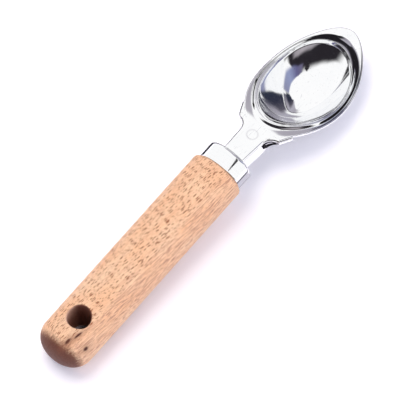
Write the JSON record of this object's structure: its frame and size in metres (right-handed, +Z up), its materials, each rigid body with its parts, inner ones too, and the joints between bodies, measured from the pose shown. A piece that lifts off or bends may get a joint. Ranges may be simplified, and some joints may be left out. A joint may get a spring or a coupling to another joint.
{
  "type": "ice cream scoop",
  "caption": "Rigid ice cream scoop: pressed steel bowl with a beaded rim and a blunt beak, channel-shaped neck, steel ferrule and an oval beech handle with a hang hole.",
  "frame": {"origin": "on the table under the middle of the scoop's length, on its plane of symmetry", "axes": "+X from the butt of the handle to the tip of the bowl, +Y to the left, +Z up as the scoop lies on a table"},
  "size_m": [0.209, 0.0432, 0.0304],
  "materials": {
    "polished_steel": "mirror-polished stainless steel",
    "beech": "sanded and oiled beech",
    "plain_steel": "as rolled",
    "resin": "cured, unpainted"
  },
  "bodies": {
    "root": {"bowl": "polished_steel", "neck": "polished_steel", "ferrule": "polished_steel", "handle": "beech", "tang": "plain_steel", "tang_adhesive": "resin"}
  },
  "joints": []
}
